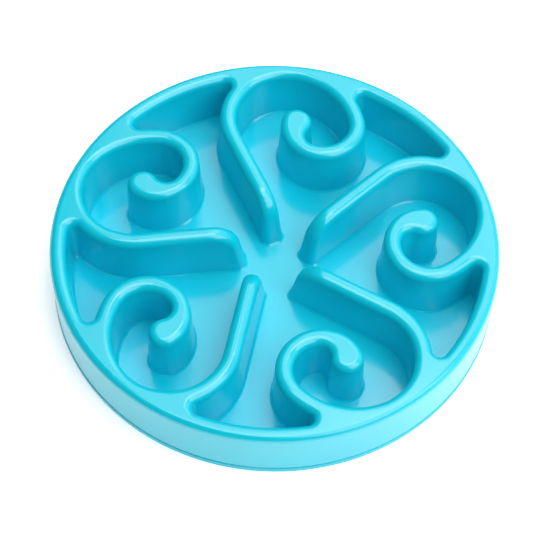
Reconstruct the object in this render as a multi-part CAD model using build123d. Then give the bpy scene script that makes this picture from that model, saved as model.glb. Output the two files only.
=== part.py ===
from build123d import *
import os
from math import cos, radians, sin, sqrt, tan

# A slow feeder bowl: one hollow moulding with five spiral ridges in its food well, standing on a soft
# non-slip ring that is pushed over the skirt's lower edge. Millimetres and degrees. The origin is the
# centre of the base at table level, and +Z is up.

# Overall sizes
base_diameter = 250.0  # outside of the base ring, the widest place
overall_height = 36.0  # table to the level top of the rim and the ridges

# Moulding
wall = 2.4  # skirt, ridge sides and ridge tops
skirt_draft = 0.5  # the skirt widens towards its foot
rim_rounding = 3.5  # outer edge of the rim
rim_flat = 1.0  # level top of the rim, between its rounded edges
floor_thickness = 2.4
floor_clearance = 1.4  # table to the underside of the floor
floor_bevel = 0.9  # foot of every wall in the food well
well_draft = 3.0  # the food well narrows towards its floor
pocket_corner_radius = 4.0  # corners where a ridge runs into the rim

# Spiral ridges: a straight arm from the middle, then a chain of tangent arcs that turn right
ridge_count = 5
ridge_width = 9.3  # across the top, before its edges are rounded
ridge_flat = 1.0  # level top of a ridge, between its rounded edges
channel_width = 22.8  # between the bends of two neighbouring ridges
rim_web = 0.1  # a bend's inner side comes this close to the food well's own wall
first_arm_angle = 43.4
arm_offset = 7.4  # the arm's axis passes this far from the bowl's centre
nose_foot = 15.5  # bowl's centre to the foot of the arm's end, along the arm
nose_slope = 11.0  # the arm's end leans back from upright
nose_radius = 17.0  # side view of the bend from the arm's end to its top
bend_turn = 133.0
back_turn = 61.5
curl_turn = 156.0
hook_turn = 51.0

# A spiral keeps its shape at any size, so these radii are shares of its bend's radius
back_share = 1.281
curl_share = 0.583
hook_share = 0.499
bulb_share = 0.246  # round end of the spiral
notch_share = 0.2  # hollow corner between the bulb and the curl

# Base ring: a channel that holds the skirt's lower edge
ring_height = 3.8  # the strip that shows below the skirt
ring_wall = 1.3
ring_floor = 1.2
ring_inner_height = 6.0
ring_fit = 0.05  # gap on each side of the skirt's tongue
ring_seam = 0.4  # line between the strip and the skirt
ring_proud = 0.3  # the strip stands out from the skirt
ring_edge_rounding = 0.4

tolerance = 1e-4  # for finding edges and corners by their place

# Places worked out from the sizes above
skirt_foot = ring_height + ring_seam
skirt_foot_radius = base_diameter / 2 - ring_proud
rim_outer_radius = skirt_foot_radius - (overall_height - skirt_foot) * tan(radians(skirt_draft))
ridge_rounding = (ridge_width - ridge_flat) / 2
well_radius = rim_outer_radius - rim_rounding - rim_flat - ridge_rounding
floor_top = floor_clearance + floor_thickness
cavity_top = overall_height - wall
tongue_radius = base_diameter / 2 - ring_wall - ring_fit
half_pitch_sine = sin(radians(180 / ridge_count))
bend_reach = well_radius - rim_web + ridge_width / 2
# A chord between neighbouring bends' centres holds two bend radii, a ridge and a channel
bend_radius = (2 * bend_reach * half_pitch_sine - ridge_width - channel_width) / (2 + 2 * half_pitch_sine)
bend_start = sqrt((bend_reach - bend_radius) ** 2 - (arm_offset + bend_radius) ** 2)
curl_radius = curl_share * bend_radius
outer_arcs = (
    (bend_radius, bend_turn),
    (back_share * bend_radius, back_turn),
    (curl_radius, curl_turn),
    (hook_share * bend_radius, hook_turn),
)
inner_arcs = outer_arcs[:2] + ((curl_radius, curl_turn + hook_turn),)
bulb_radius = bulb_share * bend_radius
notch_radius = notch_share * bend_radius
arm_root = nose_foot - ridge_width / 2
arm_angles = [first_arm_angle + index * 360 / ridge_count for index in range(ridge_count)]


def skirt_radius(height):
    """Outside radius of the skirt's cone at a height above the table."""
    return rim_outer_radius + (overall_height - height) * tan(radians(skirt_draft))


def inner_skirt_radius(height):
    """Inside radius of the skirt at a height above the table."""
    return skirt_radius(height) - wall / cos(radians(skirt_draft))


def turned(*corners):
    """A solid of revolution about the bowl's axis, from its half section's corners and their radii."""
    points = [(radius, height) for radius, height, rounding in corners]
    roundings = [rounding for radius, height, rounding in corners]
    section = make_face(FilletPolyline(*points, radius=roundings, close=True))
    return revolve(Plane.XZ * section, Axis.Z)


def ridge_side(offset, arcs):
    """One side of a ridge in plan, a line and a chain of arcs, at an offset left of its middle line."""
    side_y = offset - arm_offset
    edges = [Line((arm_root, side_y), (bend_start, side_y))]
    for radius, turn in arcs:
        edges.append(JernArc(edges[-1] @ 1, edges[-1] % 1, radius + offset, -turn))
    return edges


def ridge_plan(growth):
    """One ridge in plan, with its arm along +X: a stroke of even width that swells into a bulb."""
    half_width = ridge_width / 2 - growth
    end_radius = bulb_radius - growth
    left = ridge_side(half_width, outer_arcs)
    right = ridge_side(-half_width, inner_arcs)
    arm_end = Line(left[0] @ 0, right[0] @ 0)
    hook_end = Line(left[-1] @ 1, right[-1] @ 1)
    stroke = make_face(left + [hook_end] + right + [arm_end])
    inward = (left[-1].arc_center - (left[-1] @ 1)).normalized()
    bulb_centre = (left[-1] @ 1) + inward * end_radius
    ridge = stroke + Pos(*bulb_centre) * Circle(end_radius)
    on_bulb = ridge.vertices().filter_by(
        lambda vertex: abs((Vector(vertex) - bulb_centre).length - end_radius) < tolerance
    )
    notch = on_bulb.sort_by_distance(right[-1].arc_center)[0]
    return fillet(notch, notch_radius + growth)


def well_plan(growth):
    """The food well in plan, with its outline at the top of the bowl moved outwards by growth."""
    radius = well_radius + growth
    ridge = ridge_plan(growth)
    well = Circle(radius) - around_arms(ridge)
    corners = well.vertices().filter_by(
        lambda vertex: abs(Vector(vertex).length - radius) < tolerance
    )
    return fillet(corners, pocket_corner_radius + growth)


def nose_room(growth, top, bottom):
    """The space before one arm's end, which leans back from the floor and bends into the arm's top."""
    lean = radians(nose_slope)
    radius = nose_radius - growth
    foot_x = nose_foot + growth / cos(lean) + (bottom - floor_top) * tan(lean)
    bend_bottom = top - radius * (1 - sin(lean))
    front = Line((foot_x, bottom), (foot_x + (bend_bottom - bottom) * tan(lean), bend_bottom))
    bend = JernArc(front @ 1, front % 1, radius, nose_slope - 90)
    far_x = arm_root - ridge_width / 2
    over_top = top + ridge_width / 2
    rest = Polyline(bend @ 1, ((bend @ 1).X, over_top), (far_x, over_top), (far_x, bottom), front @ 0)
    side_view = Plane.XZ * make_face([front, bend, rest])
    return Pos(0, -arm_offset, 0) * extrude(side_view, amount=ridge_width, both=True)


def around_arms(shape):
    """Copies of a shape on the first arm, one for each arm."""
    return [Rot(0, 0, angle) * shape for angle in arm_angles]


def well_solid(growth, top, bottom):
    """The food well as a solid that narrows downwards, with its walls moved outwards by growth."""
    narrowing = (overall_height - top) * tan(radians(well_draft))
    plan = well_plan(growth / cos(radians(well_draft)) - narrowing)
    prism = extrude(Pos(0, 0, bottom) * plan, amount=top - bottom)
    walls = prism.faces().filter_by(lambda face: abs(face.normal_at().Z) < tolerance)
    well = draft(walls, Plane.XY.offset(top), -well_draft)
    return well + around_arms(nose_room(growth, top, bottom))


def make_bowl():
    """The moulding: skirt, rim, floor and ridges of one wall, open underneath."""
    blank = turned(
        (0, ring_floor, 0),
        (tongue_radius, ring_floor, 0),
        (tongue_radius, skirt_foot, 0),
        (skirt_foot_radius, skirt_foot, 0),
        (rim_outer_radius, overall_height, rim_rounding),
        (0, overall_height, 0),
    )
    under = turned(
        (0, 0, 0),
        (inner_skirt_radius(0), 0, 0),
        (inner_skirt_radius(cavity_top), cavity_top, 0),
        (0, cavity_top, 0),
    )
    cavity = under - well_solid(wall, cavity_top, floor_clearance)
    return blank - well_solid(0, overall_height, floor_top) - cavity


def is_nose(face):
    """True for the sloping end of an arm, and for the bend above it."""
    if face.geom_type == GeomType.CYLINDER:
        return abs(face.radius - nose_radius) < tolerance
    leans = abs(face.normal_at().Z - sin(radians(nose_slope))) < tolerance
    return face.geom_type == GeomType.PLANE and leans


def is_floor(face):
    """True for the top of the bowl's floor."""
    at_floor = abs(face.center().Z - floor_top) < tolerance
    return face.geom_type == GeomType.PLANE and at_floor


def round_bowl(bowl):
    """Rounds the top edges of the well and the ridges, and bevels the foot of the well's walls."""
    top_face = bowl.faces().sort_by(Axis.Z)[-1]
    rim_edges = top_face.outer_wire().edges()
    noses = bowl.faces().filter_by(is_nose)
    edges = [edge for face in [top_face, *noses] for edge in face.edges()]
    crest = [edge for edge in edges if edges.count(edge) == 1 and edge not in rim_edges]
    crest = [edge for edge in crest if edge.center().Z > floor_top + tolerance]
    bowl = fillet(crest, ridge_rounding)
    floor = bowl.faces().filter_by(is_floor)[0]
    return chamfer(floor.outer_wire().edges(), floor_bevel)


def make_base_ring():
    """The soft channel that holds the skirt's tongue, with a strip that shows below the skirt."""
    outside = base_diameter / 2
    inner_side = inner_skirt_radius(ring_inner_height) - ring_fit
    return turned(
        (inner_side - ring_wall, 0, 0),
        (outside, 0, ring_edge_rounding),
        (outside, ring_height, ring_edge_rounding),
        (outside - ring_wall, ring_height, 0),
        (outside - ring_wall, ring_floor, 0),
        (inner_side, ring_floor, 0),
        (inner_side, ring_inner_height, 0),
        (inner_side - ring_wall, ring_inner_height, 0),
    )


os.makedirs("parts", exist_ok=True)
export_step(round_bowl(make_bowl()), "parts/bowl.step")
export_step(make_base_ring(), "parts/base_ring.step")
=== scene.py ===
from math import radians

import bpy
from mathutils import Matrix, Vector

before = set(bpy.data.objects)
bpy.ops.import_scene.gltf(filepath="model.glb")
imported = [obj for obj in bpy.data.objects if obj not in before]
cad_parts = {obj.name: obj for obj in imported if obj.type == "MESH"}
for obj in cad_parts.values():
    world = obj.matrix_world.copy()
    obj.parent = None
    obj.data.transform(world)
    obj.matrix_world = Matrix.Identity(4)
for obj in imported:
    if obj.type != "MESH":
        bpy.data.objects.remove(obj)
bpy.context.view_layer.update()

# A slow feeder bowl on a white floor, seen from above as in a catalogue picture. Metres and degrees. The
# origin is the centre of the base at floor level, +X is to the right of the picture and +Z is up.

# Camera
CAMERA_AIM = Vector((-0.00235, 0.00145, 0.0))
CAMERA_DISTANCE = 0.898
CAMERA_ELEVATION = 57.64
CAMERA_ROLL = 1.34
FOCAL_LENGTH_MM = 104.6
SENSOR_WIDTH_MM = 36.0

# Softboxes that face the origin, most of them on the right: name, centre, width, height, watts
SOFTBOXES = (
    ("front_right_softbox", Vector((1.1, -0.86, 1.45)), 1.75, 1.6, 21.5),
    ("right_softbox", Vector((1.7, 0.16, 1.07)), 1.6, 1.6, 4.5),
    ("far_right_softbox", Vector((1.08, 1.21, 1.19)), 1.6, 1.6, 6.5),
    ("far_softbox", Vector((0.3, 1.15, 1.75)), 1.3, 1.5, 9.5),
    ("top_softbox", Vector((0.15, 0.1, 2.0)), 1.3, 1.3, 17.5),
)

# Surroundings
WORLD_LIGHT = 0.09  # on the bowl and the floor, from all round
WORLD_MIRROR = 0.02  # in the bowl's gloss
WORLD_SEEN = 1.0  # behind the floor, white to the camera
FLOOR_GLOW = 0.46  # the floor is a lit white table
FLOOR_SIZE = 6.0

# Colours, linear
CYAN = (0.004, 0.65, 0.81, 1.0)
CYAN_DEEP = (0.003, 0.62, 0.79, 1.0)
WHITE = (1.0, 1.0, 1.0, 1.0)

# What the bowl's and the ring's finishes share
FLOW_DETAIL = 2.0
DEEP_BELOW = 0.35  # noise level of the deeper cyan
LIGHT_ABOVE = 0.65  # noise level of the lighter cyan
SKIN_DEPTH = 0.0002


def new_material(name):
    """A material with an empty node tree, and its output node."""
    material = bpy.data.materials.new(name)
    material.use_nodes = True
    material.node_tree.nodes.clear()
    output = material.node_tree.nodes.new("ShaderNodeOutputMaterial")
    return material, material.node_tree, output


def add_noise(tree, scale, detail):
    """A noise texture in object space; scale is in waves per metre."""
    place = tree.nodes.new("ShaderNodeTexCoord")
    noise = tree.nodes.new("ShaderNodeTexNoise")
    noise.inputs["Scale"].default_value = scale
    noise.inputs["Detail"].default_value = detail
    tree.links.new(place.outputs["Object"], noise.inputs["Vector"])
    return noise


def add_cyan(tree, noise):
    """A soft mix of the deeper and the lighter cyan that follows a noise texture."""
    ramp = tree.nodes.new("ShaderNodeValToRGB")
    deep, light = ramp.color_ramp.elements
    deep.position = DEEP_BELOW
    deep.color = CYAN_DEEP
    light.position = LIGHT_ABOVE
    light.color = CYAN
    tree.links.new(noise.outputs["Fac"], ramp.inputs["Fac"])
    return ramp


def add_range(tree, noise, low, high):
    """A number between low and high that follows a noise texture."""
    spread = tree.nodes.new("ShaderNodeMapRange")
    spread.inputs["To Min"].default_value = low
    spread.inputs["To Max"].default_value = high
    tree.links.new(noise.outputs["Fac"], spread.inputs["Value"])
    return spread


def add_skin(tree, scale, detail, strength):
    """Fine bumps on the surface; scale is in waves per metre."""
    noise = add_noise(tree, scale, detail)
    bump = tree.nodes.new("ShaderNodeBump")
    bump.inputs["Strength"].default_value = strength
    bump.inputs["Distance"].default_value = SKIN_DEPTH
    tree.links.new(noise.outputs["Fac"], bump.inputs["Height"])
    return bump


def cyan_finish(name, ior, specular, flow_scale, smoothest, roughest, skin_scale, skin_detail, skin_strength):
    """An even cyan with faint flow marks, in its colour and its gloss, and a fine skin."""
    material, tree, output = new_material(name)
    shader = tree.nodes.new("ShaderNodeBsdfPrincipled")
    shader.inputs["IOR"].default_value = ior
    shader.inputs["Specular IOR Level"].default_value = specular
    flow = add_noise(tree, flow_scale, FLOW_DETAIL)
    colour = add_cyan(tree, flow)
    roughness = add_range(tree, flow, smoothest, roughest)
    skin = add_skin(tree, skin_scale, skin_detail, skin_strength)
    tree.links.new(colour.outputs["Color"], shader.inputs["Base Color"])
    tree.links.new(roughness.outputs["Result"], shader.inputs["Roughness"])
    tree.links.new(skin.outputs["Normal"], shader.inputs["Normal"])
    tree.links.new(shader.outputs["BSDF"], output.inputs["Surface"])
    return material


def moulded_plastic():
    """Glossy moulded plastic of the bowl."""
    return cyan_finish(
        "bowl_plastic",
        ior=1.5,
        specular=0.8,
        flow_scale=14.0,
        smoothest=0.13,
        roughest=0.19,
        skin_scale=900.0,
        skin_detail=3.0,
        skin_strength=0.05,
    )


def soft_rubber():
    """Soft elastomer of the base ring, satin and finely grained."""
    return cyan_finish(
        "ring_rubber",
        ior=1.45,
        specular=0.5,
        flow_scale=20.0,
        smoothest=0.32,
        roughest=0.42,
        skin_scale=1500.0,
        skin_detail=4.0,
        skin_strength=0.15,
    )


def floor_material():
    """A white table lit from below, which still takes the bowl's shadow."""
    material, tree, output = new_material("white_floor")
    paper = tree.nodes.new("ShaderNodeBsdfDiffuse")
    paper.inputs["Color"].default_value = WHITE
    glow = tree.nodes.new("ShaderNodeEmission")
    glow.inputs["Color"].default_value = WHITE
    glow.inputs["Strength"].default_value = FLOOR_GLOW
    both = tree.nodes.new("ShaderNodeAddShader")
    tree.links.new(paper.outputs["BSDF"], both.inputs[0])
    tree.links.new(glow.outputs["Emission"], both.inputs[1])
    tree.links.new(both.outputs["Shader"], output.inputs["Surface"])
    return material


def dress(node, material):
    """Gives a CAD node its finished material."""
    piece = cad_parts[node]
    piece.data.materials.clear()
    piece.data.materials.append(material)


def make_floor():
    """The floor that the bowl stands on."""
    mesh = bpy.data.meshes.new("floor")
    half = FLOOR_SIZE / 2
    corners = [(-half, -half, 0.0), (half, -half, 0.0), (half, half, 0.0), (-half, half, 0.0)]
    mesh.from_pydata(corners, [], [(0, 1, 2, 3)])
    mesh.materials.append(floor_material())
    floor = bpy.data.objects.new("floor", mesh)
    bpy.context.scene.collection.objects.link(floor)


def make_softbox(name, centre, width, height, watts):
    """A rectangular light that faces the origin."""
    lamp = bpy.data.lights.new(name, "AREA")
    lamp.shape = "RECTANGLE"
    lamp.size = width
    lamp.size_y = height
    lamp.energy = watts
    light = bpy.data.objects.new(name, lamp)
    turn = (-centre).to_track_quat("-Z", "Y").to_matrix().to_4x4()
    light.matrix_world = Matrix.Translation(centre) @ turn
    bpy.context.scene.collection.objects.link(light)


def add_background(tree, strength):
    """A plain white background."""
    background = tree.nodes.new("ShaderNodeBackground")
    background.inputs["Color"].default_value = WHITE
    background.inputs["Strength"].default_value = strength
    return background


def add_mix(tree, choice, otherwise, chosen):
    """Takes the chosen shader where a light path's output is true, and the other one elsewhere."""
    mix = tree.nodes.new("ShaderNodeMixShader")
    tree.links.new(choice, mix.inputs[0])
    tree.links.new(otherwise.outputs[0], mix.inputs[1])
    tree.links.new(chosen.outputs[0], mix.inputs[2])
    return mix


def make_world():
    """A studio that is white to the camera, dim in reflections and gives a gentle light all round."""
    world = bpy.data.worlds.new("studio")
    world.use_nodes = True
    tree = world.node_tree
    tree.nodes.clear()
    output = tree.nodes.new("ShaderNodeOutputWorld")
    path = tree.nodes.new("ShaderNodeLightPath")
    room = add_background(tree, WORLD_LIGHT)
    mirrored = add_background(tree, WORLD_MIRROR)
    seen = add_background(tree, WORLD_SEEN)
    lit = add_mix(tree, path.outputs["Is Glossy Ray"], room, mirrored)
    surround = add_mix(tree, path.outputs["Is Camera Ray"], lit, seen)
    tree.links.new(surround.outputs["Shader"], output.inputs["Surface"])
    bpy.context.scene.world = world


def make_camera():
    """The camera at the photograph's place."""
    lens = bpy.data.cameras.new("camera")
    lens.sensor_width = SENSOR_WIDTH_MM
    lens.lens = FOCAL_LENGTH_MM
    camera = bpy.data.objects.new("camera", lens)
    tilt = Matrix.Rotation(radians(90 - CAMERA_ELEVATION), 4, "X")
    roll = Matrix.Rotation(radians(CAMERA_ROLL), 4, "Z")
    place = CAMERA_AIM + tilt.to_3x3() @ Vector((0.0, 0.0, CAMERA_DISTANCE))
    camera.matrix_world = Matrix.Translation(place) @ tilt @ roll
    bpy.context.scene.collection.objects.link(camera)
    bpy.context.scene.camera = camera


dress("bowl", moulded_plastic())
dress("base_ring", soft_rubber())
make_floor()
make_world()
for softbox in SOFTBOXES:
    make_softbox(*softbox)
make_camera()
bpy.context.scene.view_settings.view_transform = "Standard"
